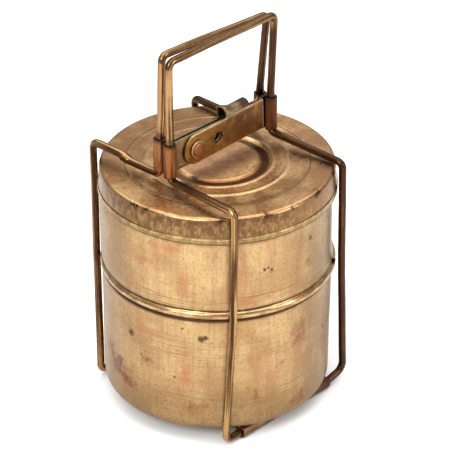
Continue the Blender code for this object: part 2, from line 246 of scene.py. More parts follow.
def swept_rod(corners, radius, swell, sides=28, spacing=1.5):
    """A bmesh of a closed loop of round rod, with a UV of (turn round the rod, millimetres along it)."""
    path = resampled(rounded(corners, closed=True, arc_steps=12), spacing, closed=True)
    noise.seed_set(NOISE_SEED)
    path = [p + (noise.noise_vector(p * 0.035) * LONG_WOBBLE + noise.noise_vector(p * 0.16) * SHORT_WOBBLE)
            for p in path]
    count = len(path)
    tangents = [(path[(i + 1) % count] - path[i - 1]).normalized() for i in range(count)]
    side = tangents[0].orthogonal().normalized()
    sides_dirs = [side]
    for one, two in zip(tangents, tangents[1:]):
        side = one.rotation_difference(two) @ side
        side = (side - two * side.dot(two)).normalized()
        sides_dirs.append(side)
    closing = tangents[-1].rotation_difference(tangents[0]) @ side
    twist = math.atan2(tangents[0].dot(sides_dirs[0].cross(closing)), sides_dirs[0].dot(closing))
    bm = bmesh.new()
    uv = bm.loops.layers.uv.new("along")
    rings, marks, run = [], [], 0.0
    for i, (here, along) in enumerate(zip(path, tangents)):
        one = Matrix.Rotation(-twist * i / count, 3, along) @ sides_dirs[i]
        two = along.cross(one)
        ring = []
        for k in range(sides):
            a = 2 * math.pi * k / sides
            out = one * math.cos(a) + two * math.sin(a)
            dent = 0.035 * noise.noise(here * 0.3 + out * 0.9) + 0.02 * noise.noise(here * 1.1 + out * 2)
            ring.append(bm.verts.new(here + out * (radius + dent + swell(here, out))))
        rings.append(ring)
        marks.append(run)
        run += (path[(i + 1) % count] - here).length
    for i in range(count):
        one, two = rings[i], rings[(i + 1) % count]
        for k in range(sides):
            n = (k + 1) % sides
            face = bm.faces.new((one[k], one[n], two[n], two[k]))
            far = marks[i + 1] if i + 1 < count else run
            for loop, mark in zip(face.loops, ((k, marks[i]), (k + 1, marks[i]), (k + 1, far), (k, far))):
                loop[uv].uv = (mark[0] / sides, mark[1] / 100)
    bmesh.ops.recalc_face_normals(bm, faces=bm.faces)
    return bm


def bent_strip(path, thickness, spans, place, across=1):
    """A bmesh of an even sheet bent along a path and extruded sideways, in the way of the CAD's strips."""
    bm = bmesh.new()
    rings = []
    for i, here in enumerate(path):
        back = here - path[i - 1] if i else path[1] - here
        ahead = path[i + 1] - here if i + 1 < len(path) else back
        along = (back.normalized() + ahead.normalized()).normalized()
        widen = 1 / max(along.dot(ahead.normalized()), 0.5)
        normal = Vector((-along.y, along.x)) * thickness / 2 * widen
        low, high = spans[i]
        levels = [low + (high - low) * k / across for k in range(across + 1)]
        corners = [(here + normal, side) for side in levels]
        corners += [(here - normal, side) for side in reversed(levels)]
        rings.append([bm.verts.new(place(p.x, p.y, side)) for p, side in corners])
    grid_faces(bm, rings, around_closed=True)
    bm.faces.new(rings[0])
    bm.faces.new(rings[-1])
    bmesh.ops.recalc_face_normals(bm, faces=bm.faces)
    return bm


def soften_edges(obj, width):
    """Round a sheet's cut edges and keep its flats flat."""
    bevel = obj.modifiers.new("worn edges", "BEVEL")
    bevel.width = width * MM
    bevel.segments = 3
    bevel.limit_method = "ANGLE"
    bevel.angle_limit = math.radians(35)
    bevel.use_clamp_overlap = True
    flats = obj.modifiers.new("flat faces", "WEIGHTED_NORMAL")
    flats.keep_sharp = True


def combine(obj, tool, operation):
    """Join or cut with a tool object, for good."""
    step = obj.modifiers.new("combine", "BOOLEAN")
    step.operation, step.solver, step.object = operation, "EXACT", tool
    apply_modifiers(obj)
    bpy.data.objects.remove(tool)


def apply_modifiers(obj):
    """Replace the mesh with its modified form."""
    graph = bpy.context.evaluated_depsgraph_get()
    graph.update()
    mesh = bpy.data.meshes.new_from_object(obj.evaluated_get(graph))
    obj.modifiers.clear()
    obj.data = mesh


def drill(obj, x, z, radius, y, depth):
    """A round hole along Y."""
    outline = [(0, y - depth), (radius, y - depth), (radius, y + depth), (0, y + depth)]
    combine(obj, mesh_object("drill", turned_along_y(outline, x, z)), "DIFFERENCE")


# ---- materials ----
class Shade:
    """Short calls for building one material's node tree."""

    def __init__(self, name):
        self.material = bpy.data.materials.new(name)
        self.material.use_nodes = True
        self.tree = self.material.node_tree
        self.shader = self.tree.nodes["Principled BSDF"]
        self.place = self.node("ShaderNodeTexCoord").outputs["Object"]
        self.colour = None

    def node(self, kind, inputs=None, **settings):
        """A node with its settings and its inputs set or linked."""
        made = self.tree.nodes.new(kind)
        for key, value in settings.items():
            setattr(made, key, value)
        for key, value in (inputs or {}).items():
            self.put(made.inputs[key], value)
        return made

    def put(self, socket, value):
        """Link a socket to another, or set its value."""
        if isinstance(value, bpy.types.NodeSocket):
            self.tree.links.new(value, socket)
        elif isinstance(value, tuple) and len(value) == 3 and socket.type == "RGBA":
            socket.default_value = (*value, 1.0)
        else:
            socket.default_value = value

    def math(self, operation, a, b=0.0):
        """A Math node's result."""
        return self.node("ShaderNodeMath", {0: a, 1: b}, operation=operation).outputs[0]

    def vector(self, operation, a, b=(0, 0, 0), result=0):
        """A Vector Math node's result; result 1 is its single number."""
        return self.node("ShaderNodeVectorMath", {0: a, 1: b}, operation=operation).outputs[result]

    def scaled(self, x, y, z):
        """Object place in millimetres, times x, y and z."""
        factors = (x / MM, y / MM, z / MM)
        return self.vector("MULTIPLY", self.place, factors)

    def grains(self, x, y, z, **settings):
        """Noise over the object, with x, y and z the number of cells in a millimetre."""
        return self.noise(self.scaled(x, y, z), **settings)

    def noise(self, where, detail=3.0, rough=0.55, distort=0.0):
        """Noise from 0 to 1."""
        made = self.node("ShaderNodeTexNoise", {"Vector": where, "Scale": 1.0, "Detail": detail,
                                                "Roughness": rough, "Distortion": distort})
        return made.outputs["Fac"]

    def ramp(self, value, low, high, to_low=0.0, to_high=1.0):
        """Smooth step from to_low to to_high as value goes from low to high."""
        made = self.node("ShaderNodeMapRange", {"Value": value, "From Min": low, "From Max": high,
                                                "To Min": to_low, "To Max": to_high},
                         interpolation_type="SMOOTHSTEP")
        return made.outputs[0]

    def height(self):
        """Z in millimetres."""
        return self.part(2)

    def radius(self):
        """Distance from the Z axis in millimetres."""
        flat = self.vector("MULTIPLY", self.place, (1 / MM, 1 / MM, 0))
        return self.vector("LENGTH", flat, result=1)

    def pits(self, scale, size, share, stretch=1.0, seed=0.0):
        """Mask of scattered round pits: scale cells per millimetre, a share of them with a pit."""
        shift = self.vector("ADD", self.scaled(scale, scale, scale * stretch), (seed, seed * 0.7, -seed))
        cells = self.node("ShaderNodeTexVoronoi", {"Vector": shift, "Scale": 1.0}, feature="F1")
        pick = self.node("ShaderNodeSeparateColor", {0: cells.outputs["Color"]})
        chosen = self.ramp(pick.outputs[0], share, share * 0.6)
        reach = self.math("MULTIPLY", pick.outputs[1], size)
        reach = self.math("ADD", reach, size * 0.5)
        near = self.math("DIVIDE", cells.outputs["Distance"], reach)
        return self.math("MULTIPLY", self.ramp(near, 1.0, 0.45), chosen)

    def part(self, axis):
        """One coordinate (0, 1 or 2) in millimetres."""
        split = self.node("ShaderNodeSeparateXYZ", {0: self.place})
        return self.math("MULTIPLY", split.outputs[axis], 1 / MM)

    def both(self, a, b):
        """Product of two masks."""
        return self.math("MULTIPLY", a, b)

    def either(self, a, b):
        """The stronger of two masks."""
        return self.math("MAXIMUM", a, b)

    def coat(self, mask, tint, share=None):
        """Lay a tint, or a share of it, over the colour so far where the mask says."""
        mask = mask if share is None else self.both(mask, share)
        self.colour = mix(self, mask, self.colour, tint)

    def near(self, value, middle, reach, sharp=0.0):
        """Mask of a band: 1 at the middle, 0 at reach away."""
        return self.ramp(self.math("ABSOLUTE", self.math("SUBTRACT", value, middle)), reach, sharp)

    def spot(self, centre, wide, tall, ragged=0.8, grain=0.30, soft=0.3):
        """Mask of a ragged patch round a point, all in millimetres."""
        away = self.vector("SUBTRACT", self.place, tuple(c * MM for c in centre))
        sizes = (1 / wide / MM, 1 / wide / MM, 1 / tall / MM)
        far = self.vector("LENGTH", self.vector("MULTIPLY", away, sizes), result=1)
        torn = self.noise(self.scaled(grain, grain, grain), detail=5.0, rough=0.65)
        shift = self.math("MULTIPLY", self.math("SUBTRACT", torn, 0.5), ragged * 4)
        return self.ramp(self.math("ADD", far, shift), 1.1, soft)

    def finish(self, roughness, bump, metallic=1.0, bump_mm=0.05):
        """Wire the Principled shader."""
        self.put(self.shader.inputs["Base Color"], self.colour)
        self.put(self.shader.inputs["Roughness"], roughness)
        self.shader.inputs["Metallic"].default_value = metallic
        if bump is not None:
            made = self.node("ShaderNodeBump", {"Height": bump, "Distance": bump_mm * MM, "Strength": 1.0})
            self.put(self.shader.inputs["Normal"], made.outputs[0])
        return self.material


def mix(s, factor, a, b):
    """A colour mix with the Mix node's colour sockets."""
    return s.node("ShaderNodeMix", {0: factor, 6: a, 7: b}, data_type="RGBA").outputs[2]


def on_wall(angle, z, radius=62.5):
    """A point on the bowls' wall, from its bearing in degrees and its height."""
    return (radius * math.cos(math.radians(angle)), radius * math.sin(math.radians(angle)), z)


# Marks on each bowl. Stains: (bearing, height, width, tallness, strength).
STAINS = {
    "lower": [(165, 32, 10, 8, 1.0), (172, 27, 9, 5, 1.0), (158, 38, 6, 6, 0.9), (-174, 47.5, 5, 2.5, 0.7),
              (-101, 45, 2.5, 3, 0.5), (-91, 60, 7, 9, 0.45), (-90, 17, 8, 5, 0.55), (-146, 24, 7, 5, 0.4),
              (-67, 48, 5, 22, 0.6), (-116, 30, 1.6, 6, 0.45)],
    "upper": [(-84, 102, 4, 4, 0.5), (-83, 116, 2, 2.5, 0.6), (-151, 116, 1.5, 2.5, 0.6)],
}
# Reddish blushes: (bearing, height, width, tallness).
BLUSHES = {
    "lower": [(-152, 52, 5, 22), (-151.5, 42, 5, 14), (-171, 66, 22, 5), (-116, 30, 3, 9), (-146, 22, 9, 6),
              (-91, 55, 8, 14), (168, 30, 16, 12)],
    "upper": [(-151, 100, 4, 16), (-121, 91, 13, 6), (-176, 111, 16, 4), (166, 107, 9, 4), (-124, 108, 10, 6),
              (-160, 122, 16, 4)],
}
# Large pits: (bearing, height, size).
PITS = {
    "lower": [(-143.3, 67.7, 1.8), (-141.2, 68.5, 1.3), (177.3, 59.8, 2.0), (-176, 49, 0.9), (-157, 41, 0.9)],
    "upper": [(-108.1, 107.2, 0.8), (-112, 108.3, 0.9), (-110, 108.9, 0.6), (-83, 116.3, 0.9)],
}


def bowl_brass(name, which, grime_z, spin_z):
    """Pale worn brass: upright streaks, fine spin lines, brown stains and pits, grime at the joints; painted
    shade at the sides and the bottom, painted shadow and reflection lines at the bead.
    """
    s = Shade(name)
    z = s.height()
    streaks = s.grains(0.11, 0.11, 0.014, detail=4.0)
    thin = s.grains(0.50, 0.50, 0.03, detail=3.0)
    clouds = s.grains(0.045, 0.045, 0.04, detail=4.0)
    grain = s.grains(1.6, 1.6, 1.1, detail=4.0, rough=0.65)
    freckle = s.grains(0.55, 0.55, 0.45, detail=5.0, rough=0.68)
    flecks = s.grains(0.95, 0.95, 0.8, detail=5.0, rough=0.72)
    pale, deep = ((0.57, 0.395, 0.19), (0.455, 0.285, 0.13)) if which == "upper" else (
        (0.535, 0.362, 0.172), (0.415, 0.255, 0.112))
    s.colour = mix(s, s.ramp(clouds, 0.38, 0.62), pale, deep)
    s.coat(s.ramp(streaks, 0.48, 0.68, 0.0, 0.45 if which == "upper" else 0.65), (0.42, 0.195, 0.100))
    s.coat(s.ramp(thin, 0.50, 0.72, 0.0, 0.45), (0.33, 0.18, 0.082))
    s.coat(s.ramp(freckle, 0.50, 0.72, 0.0, 0.60), (0.27, 0.128, 0.062))
    s.coat(s.ramp(grain, 0.46, 0.78, 0.0, 0.60), (0.24, 0.132, 0.058))
    for angle, level, wide, tall in BLUSHES[which]:
        patch = s.spot(on_wall(angle, level), wide, tall, 0.6, 0.16, -0.6)
        s.coat(patch, (0.42, 0.17, 0.08))
    # Painted shade: both sides and the bottom of the bowls are darkened, and the dark smudges gather in that
    # shade.
    across = s.vector("DOT_PRODUCT", s.place, (0.7 / MM, -0.7 / MM, 0.0), result=1)
    shaded = s.either(s.ramp(across, 26.0, 58.0), s.ramp(across, -26.0, -60.0, 0.0, 0.8))
    shaded = s.either(shaded, s.ramp(z, BOWL_Z + 38.0, BOWL_Z + 6.0, 0.0, 1.0))
    uneven = s.ramp(clouds, 0.30, 0.66, 0.50, 0.92)
    s.coat(s.both(shaded, uneven), (0.24, 0.148, 0.066))
    smudges_and_shade = s.both(s.ramp(flecks, 0.50, 0.68), s.math("ADD", s.both(shaded, 0.7), 0.30))
    s.coat(smudges_and_shade, (0.16, 0.085, 0.04))
    lines = s.grains(0.03, 0.03, 1.6, detail=2.0, rough=0.8)
    where = s.grains(0.03, 0.03, 0.06, detail=2.0)
    band = s.either(s.near(z, spin_z, 11.0, 4.0), s.near(z, BOWL_Z + 20.0, 9.0, 3.0))
    where = s.either(s.ramp(where, 0.46, 0.62, 0.05, 0.35), s.both(band, s.ramp(where, 0.36, 0.5, 0.3, 0.9)))
    cuts = s.both(s.ramp(lines, 0.51, 0.63), where)
    s.coat(cuts, (0.22, 0.125, 0.055), 0.75)
    dark = s.grains(0.20, 0.20, 0.20, detail=5.0, rough=0.6)
    grime = None
    for level, reach in grime_z:
        close = s.both(s.near(z, level, reach), s.ramp(dark, 0.30, 0.62))
        grime = close if grime is None else s.either(grime, close)
    s.coat(grime, (0.15, 0.08, 0.035), 0.75)
    for angle, level, wide, tall, depth in STAINS[which]:
        patch = s.spot(on_wall(angle, level), wide, tall, 0.9, 0.26, 0.3)
        patch = s.both(patch, s.ramp(flecks, 0.37, 0.52, 0.15, 1.0))
        s.coat(s.both(patch, depth), (0.155, 0.05, 0.02))
    pits = s.either(s.pits(0.09, 0.075, 0.22, seed=3.1), s.pits(0.21, 0.08, 0.14, 0.6, seed=9.4))
    for angle, level, size in PITS[which]:
        pits = s.either(pits, s.spot(on_wall(angle, level, LOWER_R), size * 1.5, size * 1.5, 0.35, 0.9))
    s.coat(pits, (0.085, 0.04, 0.02), 0.88)
    rough = s.ramp(grain, 0.3, 0.8, 0.33, 0.47)
    if which == "upper":
        bead = s.near(z, SEAT_Z + BEAD_HALF_H, 2.9, 2.2)
        beaten = s.grains(0.13, 0.13, 0.5, detail=2.0)
        glossy = mix(s, s.ramp(beaten, 0.42, 0.58), (0.54, 0.35, 0.17), (0.30, 0.16, 0.072))
        s.coat(bead, glossy, 0.8)
        # Painted dark reflection line along the bead's top edge, and painted shadow on its underside.
        lines = s.either(s.near(z, SEAT_Z + 5.3, 0.9, 0.3), s.ramp(z, SEAT_Z + 1.0, SEAT_Z + 0.3))
        s.coat(s.both(lines, s.ramp(dark, 0.25, 0.50, 0.45, 0.95)), (0.075, 0.038, 0.018))
        rough = s.math("SUBTRACT", rough, s.both(bead, s.ramp(beaten, 0.42, 0.60, 0.22, 0.10)))
    else:
        # Painted shadow: a dark band round the lower bowl's top edge, under the upper bowl's bead.
        s.coat(s.ramp(z, RIM_Z - 2.3, RIM_Z - 1.0, 0.0, 0.95), (0.05, 0.025, 0.012))
    rough = s.math("ADD", rough, s.both(pits, 0.25))
    bump = s.math("ADD", s.both(grain, 0.35), s.both(cuts, -0.5))
    bump = s.math("SUBTRACT", bump, s.both(pits, 1.6))
    return s.finish(rough, bump, bump_mm=0.045)


def lid_brass(name):
    """Browner, glossier tarnish: dark in the groove, bright on the crests from wear and painted highlight,
    mottled on the skirt; painted shade towards +X and -Y and on the rim, a painted highlight along the hem.
    """
    s = Shade(name)
    z, r = s.height(), s.radius()
    clouds = s.grains(0.07, 0.07, 0.07, detail=5.0)
    mottle = s.grains(0.42, 0.42, 0.42, detail=5.0, rough=0.62)
    swirl = s.grains(0.30, 0.30, 0.30, detail=4.0, rough=0.6, distort=2.2)
    grain = s.grains(2.0, 2.0, 2.0, detail=3.0, rough=0.6)
    s.colour = mix(s, s.ramp(clouds, 0.40, 0.60), (0.80, 0.505, 0.23), (0.53, 0.278, 0.106))
    s.coat(s.ramp(swirl, 0.48, 0.66, 0.0, 0.60), (0.37, 0.185, 0.088))
    s.coat(s.ramp(mottle, 0.48, 0.70, 0.0, 0.65), (0.33, 0.16, 0.074))
    s.coat(s.ramp(mottle, 0.46, 0.30, 0.0, 0.45), (0.86, 0.61, 0.37))
    inner = s.both(s.ramp(r, 23.0, 20.5), s.ramp(mottle, 0.32, 0.62, 0.90, 0.30))
    s.coat(inner, (0.90, 0.65, 0.345))
    shadowed = s.both(s.ramp(r, 23.0, 19.0), s.ramp(s.part(1), -19.0, -9.0))
    s.coat(s.both(shadowed, s.ramp(clouds, 0.35, 0.60, 0.9, 0.5)), (0.38, 0.165, 0.09))
    back = s.both(s.ramp(s.part(1), 14.0, 44.0), s.ramp(clouds, 0.32, 0.60, 0.55, 0.9))
    s.coat(back, (0.36, 0.185, 0.08))
    # Painted shade: the lid is darkened towards +X and -Y.
    right = s.ramp(s.math("SUBTRACT", s.part(0), s.part(1)), 42.0, 84.0)
    s.coat(s.both(right, s.ramp(clouds, 0.32, 0.60, 0.5, 0.85)), (0.42, 0.225, 0.11))
    groove = s.both(s.ramp(r, 21.4, 24.2), s.ramp(r, 29.2, 27.2))
    s.coat(groove, (0.15, 0.07, 0.029), 0.90)
    dish = s.both(s.ramp(r, 38.5, 40.5), s.ramp(r, 50.3, 47.5))
    s.coat(s.both(dish, s.ramp(clouds, 0.38, 0.62, 0.10, 0.65)), (0.34, 0.18, 0.082))
    step = s.near(r, 50.3, 0.7, 0.1)
    s.coat(step, (0.15, 0.08, 0.035), 0.7)
    # The crests' lighter colour is partly rubbed wear and partly a painted highlight.
    crest = s.either(s.near(r, CREST_R, 1.3, 0.2), s.both(s.near(r, RING_R, 1.4, 0.3), 0.7))
    worn = s.both(crest, s.ramp(clouds, 0.35, 0.60, 0.35, 0.95))
    s.coat(worn, (0.66, 0.42, 0.23))
    on_skirt = s.both(s.ramp(r, 62.6, 63.8), s.ramp(z, LID_TOP_Z - 0.3, LID_TOP_Z - 1.8))
    smears = s.grains(0.30, 0.30, 0.20, detail=5.0, rough=0.66)
    mottled = mix(s, s.ramp(smears, 0.38, 0.60), (0.31, 0.185, 0.08), (0.16, 0.083, 0.033))
    scratch = s.grains(1.3, 1.3, 0.40, detail=4.0, rough=0.7)
    mottled = mix(s, s.ramp(scratch, 0.44, 0.68, 0.0, 0.75), mottled, (0.13, 0.07, 0.028))
    mottled = mix(s, s.ramp(scratch, 0.42, 0.28, 0.0, 0.5), mottled, (0.46, 0.30, 0.145))
    sooty = s.both(s.ramp(z, LID_TOP_Z - 8.5, LID_TOP_Z - 2.0), s.ramp(smears, 0.36, 0.58, 0.15, 0.9))
    mottled = mix(s, sooty, mottled, (0.115, 0.054, 0.026))
    # Painted shade on the skirt towards +X and -Y.
    mottled = mix(s, s.both(right, s.ramp(smears, 0.42, 0.56, 0.3, 0.8)), mottled, (0.29, 0.148, 0.056))
    s.coat(on_skirt, mottled)
    specks = s.grains(0.9, 0.9, 0.5, detail=4.0, rough=0.7)
    speckled = s.both(s.ramp(specks, 0.54, 0.68), on_skirt)
    s.coat(speckled, (0.095, 0.052, 0.022), 0.65)
    hem = s.both(s.ramp(z, LID_BOTTOM + 4.0, LID_BOTTOM + 3.2), on_skirt)
    s.coat(s.both(hem, s.ramp(smears, 0.36, 0.60, 0.8, 0.35)), (0.36, 0.235, 0.108))
    # Painted highlight: a bright thin line along the top edge of the hem.
    painted_hem_highlight = s.both(s.near(z, LID_BOTTOM + 3.1, 0.45, 0.1), on_skirt)
    s.coat(s.both(painted_hem_highlight, s.ramp(smears, 0.40, 0.60, 0.7, 0.1)), (0.66, 0.47, 0.25))
    edge = s.both(s.ramp(z, LID_BOTTOM + 1.15, LID_BOTTOM + 0.65), on_skirt)
    s.coat(edge, (0.09, 0.056, 0.022), 0.9)
    seam = s.near(z, LID_BOTTOM + 3.9, 0.4, 0.1)
    s.coat(s.both(seam, on_skirt), (0.14, 0.08, 0.033), 0.6)
    # Painted shade: a darker ring on the rounded rim, dimming its highlight.
    rim = s.both(s.ramp(r, 61.8, 62.6), s.ramp(z, LID_TOP_Z - 2.4, LID_TOP_Z - 1.5))
    rim = s.both(rim, s.ramp(mottle, 0.35, 0.58, 1.0, 0.4))
    s.coat(rim, (0.28, 0.155, 0.075), 0.8)
    for angle, size in ((-178, 3.5), (-171, 2.0), (-133, 3.0), (-111, 3.0), (-79, 4.0), (-97, 1.6)):
        soot = s.spot(on_wall(angle, LID_TOP_Z - 1.4, 63.6), size, 1.6, 1.2, 0.55)
        s.coat(soot, (0.05, 0.025, 0.012), 0.9)
    peppered = s.grains(1.1, 1.1, 1.1, detail=5.0, rough=0.75)
    s.coat(s.ramp(peppered, 0.56, 0.72, 0.0, 0.55), (0.20, 0.095, 0.042))
    pits = s.either(s.pits(0.12, 0.08, 0.28, seed=1.7), s.pits(0.30, 0.09, 0.18, seed=6.2))
    s.coat(pits, (0.08, 0.04, 0.02), 0.85)
    rough = s.ramp(swirl, 0.3, 0.7, 0.25, 0.41)
    rough = s.math("SUBTRACT", rough, s.both(rim, 0.08))
    rough = s.math("ADD", rough, s.ramp(r, 23.5, 20.0, 0.0, 0.16))
    bump = s.math("ADD", s.both(grain, 0.12), s.math("ADD", s.both(mottle, 0.35), s.both(swirl, 0.55)))
    bump = s.math("SUBTRACT", bump, s.both(pits, 1.5))
    return s.finish(rough, bump, bump_mm=0.04)


def rod_brass(name, seed):
    """Dark brown tarnish with lengthwise light and dark lines, partly worn bright and partly painted
    reflection; painted shade towards +X, less on the handle's top.
    """
    s = Shade(name)
    along = s.node("ShaderNodeUVMap", uv_map="along").outputs[0]
    around = s.vector("MULTIPLY", along, (6.5, 1.1, 1.0))
    lines = s.noise(s.vector("ADD", around, (seed, seed * 0.6, seed)), detail=2.5, rough=0.5)
    scratches = s.noise(s.vector("MULTIPLY", along, (16.0, 2.6, 1.0)), detail=2.0)
    clouds = s.grains(0.05, 0.05, 0.05, detail=4.0)
    grain = s.grains(0.9, 0.9, 0.9, detail=4.0, rough=0.65)
    # Painted shade: darker towards +X, and only about a third as dark on the handle's top.
    away = s.both(s.ramp(s.part(0), -15.0, 34.0), s.ramp(s.height(), 213.0, 207.0, 0.35, 1.0))
    s.colour = mix(s, s.ramp(clouds, 0.38, 0.64), (0.15, 0.074, 0.031), (0.092, 0.042, 0.02))
    tan = mix(s, s.ramp(clouds, 0.42, 0.58), (0.46, 0.285, 0.100), (0.40, 0.215, 0.088))
    # Light and dark lines round the rod: partly rubbed wear, partly painted reflection bands.
    rubbed = s.both(s.ramp(lines, 0.50, 0.61), s.ramp(away, 0.0, 1.0, RUBBED_AND_SHEEN, RUBBED_AND_SHEEN * 0.25))
    s.coat(rubbed, tan)
    s.coat(s.ramp(lines, 0.48, 0.39), (0.036, 0.016, 0.01), 0.9)
    s.coat(s.ramp(scratches, 0.58, 0.72, 0.0, 0.35), (0.42, 0.25, 0.105))
    s.coat(s.ramp(grain, 0.55, 0.78, 0.0, 0.6), (0.055, 0.026, 0.014))
    for x in (*FRONT_SLEEVES, *REAR_SLEEVES):
        collar = s.both(s.near(s.part(0), x, 3.5, 3.0), s.near(s.part(2), SLEEVE_HIGH + 1.0, 4.5, 1.0))
        s.coat(collar, (0.075, 0.038, 0.02), 0.7)
    # Painted shade towards +X, less on the handle's top.
    s.coat(s.both(away, s.ramp(clouds, 0.34, 0.60, 0.62, 0.90)), (0.052, 0.023, 0.013))
    rough = s.ramp(grain, 0.3, 0.8, 0.20, 0.36)
    bump = s.math("ADD", s.both(grain, 0.6), s.both(lines, 0.3))
    return s.finish(rough, bump, bump_mm=0.045)


def sheet_brass(name, main, dark, bright, rough_low=0.28, rough_high=0.46):
    """Tarnished sheet with cloudy patches, darker spots and bright rubbed places."""
    s = Shade(name)
    grain = sheet_colour(s, main, dark, bright)
    rough = s.ramp(grain, 0.3, 0.8, rough_low, rough_high)
    return s.finish(rough, grain, bump_mm=0.04)


def base_brass(name):
    """The base plate: brown sheet, almost black at its far end."""
    s = Shade(name)
    grain = sheet_colour(s, (0.23, 0.125, 0.05), (0.11, 0.056, 0.028), (0.36, 0.22, 0.09))
    dirt = s.grains(0.4, 0.4, 0.4, detail=4.0)
    end = s.both(s.ramp(s.part(0), 14.0, 34.0), s.ramp(dirt, 0.30, 0.55, 0.6, 0.95))
    s.coat(end, (0.065, 0.028, 0.018))
    return s.finish(s.ramp(grain, 0.3, 0.8, 0.28, 0.46), grain, bump_mm=0.04)


def sheet_colour(s, main, dark, bright):
    """Give a material a cloudy sheet colour; its fine grain is returned."""
    clouds = s.grains(0.10, 0.10, 0.10, detail=5.0, rough=0.6)
    grain = s.grains(1.2, 1.2, 1.2, detail=4.0, rough=0.65)
    brushed = s.grains(0.25, 1.2, 1.8, detail=3.0)
    s.colour = mix(s, s.ramp(clouds, 0.36, 0.62), main, dark)
    s.coat(s.ramp(brushed, 0.50, 0.70, 0.0, 0.55), bright)
    s.coat(s.ramp(grain, 0.55, 0.80, 0.0, 0.55), tuple(c * 0.35 for c in dark))
    return grain


def cross_plate_brass(name):
    """The cross plates: tan-brown strip, orange-brown near sleeves, dark red-brown far ones, grimy ends."""
    s = Shade(name)
    x, z = s.part(0), s.part(2)
    grain = sheet_colour(s, (0.31, 0.225, 0.125), (0.165, 0.112, 0.062), (0.46, 0.36, 0.22))
    upright = s.grains(0.55, 0.55, 0.05, detail=3.0)
    copper = mix(s, s.ramp(upright, 0.42, 0.60), (0.295, 0.125, 0.042), (0.15, 0.062, 0.026))
    copper = mix(s, s.ramp(upright, 0.56, 0.68, 0.0, 0.6), copper, (0.34, 0.185, 0.08))
    s.coat(s.ramp(x, -32.0, -35.0), copper)
    # Painted light: a lighter band round x = 31, in the slot between the lever's end and the far sleeve,
    # where there is shade.
    s.coat(s.near(x, 31.0, 2.6, 1.2), (0.50, 0.30, 0.16))
    russet = mix(s, s.ramp(upright, 0.42, 0.62), (0.085, 0.032, 0.017), (0.155, 0.064, 0.03))
    s.coat(s.ramp(x, 32.2, 33.6), russet)
    dirt = s.grains(0.5, 0.5, 0.5, detail=4.0)
    ends = s.either(s.ramp(z, SLEEVE_HIGH - 2.6, SLEEVE_HIGH), s.ramp(z, SLEEVE_LOW + 1.6, SLEEVE_LOW))
    s.coat(s.both(ends, s.ramp(dirt, 0.30, 0.55, 0.35, 0.92)), (0.06, 0.03, 0.016))
    rough = s.ramp(grain, 0.3, 0.8, 0.38, 0.60)
    return s.finish(rough, grain, bump_mm=0.05)


def lever_brass(name):
    """Ochre lever darkening towards the hook, which is olive-grey with a dark far end; edges rubbed light,
    and a painted highlight along the lever's end by the far sleeve.
    """
    s = Shade(name)
    x, y, z = s.part(0), s.part(1), s.part(2)
    grain = sheet_colour(s, (0.32, 0.188, 0.055), (0.16, 0.08, 0.03), (0.42, 0.27, 0.095))
    blotches = s.grains(0.16, 0.16, 0.16, detail=5.0, rough=0.65)
    s.coat(s.ramp(blotches, 0.56, 0.66, 0.0, 0.75), (0.115, 0.08, 0.034))
    s.coat(s.ramp(blotches, 0.44, 0.34, 0.0, 0.65), (0.46, 0.245, 0.07))
    further = s.both(s.ramp(x, -8.0, 24.0), s.ramp(blotches, 0.30, 0.56, 0.25, 0.9))
    s.coat(further, (0.155, 0.064, 0.027))
    slope = s.math("ADD", z, s.math("MULTIPLY", x, -math.tan(LEVER_TILT)))
    level = RIVET_Z - RIVET_X * math.tan(LEVER_TILT)
    half = LEVER_HALF_H
    rubbed = s.either(s.near(slope, level + half, 0.9, 0.3), s.near(slope, level - half, 0.9, 0.3))
    # Painted highlight: a light line along the lever's far end; the lines along its top and bottom edges are
    # rubbed wear.
    end = s.both(s.ramp(x, LEVER_END - 1.2, LEVER_END - 0.6), s.ramp(slope, level + half + 0.4, level + half))
    rubbed = s.either(s.both(rubbed, s.ramp(blotches, 0.35, 0.6, 0.2, 0.7)), s.both(end, 0.9))
    s.coat(rubbed, (0.56, 0.42, 0.24))
    olive = mix(s, s.ramp(blotches, 0.40, 0.60), (0.245, 0.18, 0.100), (0.12, 0.082, 0.043))
    upper = s.either(s.ramp(slope, level + half + 0.3, level + half + 1.4), s.ramp(y, -3.2, -2.2))
    s.coat(upper, olive)
    plum = s.both(upper, s.ramp(x, 12.5, 16.5))
    s.coat(plum, (0.06, 0.026, 0.022), 0.92)
    s.coat(s.ramp(grain, 0.58, 0.80, 0.0, 0.6), (0.07, 0.04, 0.02))
    rough = s.ramp(grain, 0.3, 0.8, 0.32, 0.50)
    return s.finish(rough, s.math("ADD", s.both(grain, 0.7), s.both(blotches, 1.6)), bump_mm=0.07)


# ---- the pieces ----
def hand_spun(r, a, z):
    """Small unevenness of a hand-spun wall, in millimetres outward and upward."""
    around = Vector((math.cos(a), math.sin(a), 0))
    low = noise.noise(around * 1.3 + Vector((0, 0, z * 0.02)))
    fine = noise.noise(around * 6.0 + Vector((0, 0, z * 0.09)) + Vector((5, 1, 2)))
    out = bow(r, 20, 60)
    return (0.10 * low + 0.035 * fine) * out, 0.0


def lean(bm, low, high, foot_shift, top_shift, neck):
    """Push a hand-made wall a little to one side, by different amounts at its foot and its top."""
    for v in bm.verts:
        share = bow(v.co.z, low, high)
        reach = bow(math.hypot(v.co.x, v.co.y), 40, 60) * (1 - bow(v.co.z, neck - 5.0, neck))
        shift = (foot_shift + (top_shift - foot_shift) * share) * reach
        v.co.x += LEAN[0] * shift
        v.co.y += LEAN[1] * shift


def dense(profile, spacing):
    """(r, z) pairs of an outline, at most spacing apart."""
    return [(p.x, p.y) for p in resampled([Vector(p) for p in profile], spacing)]


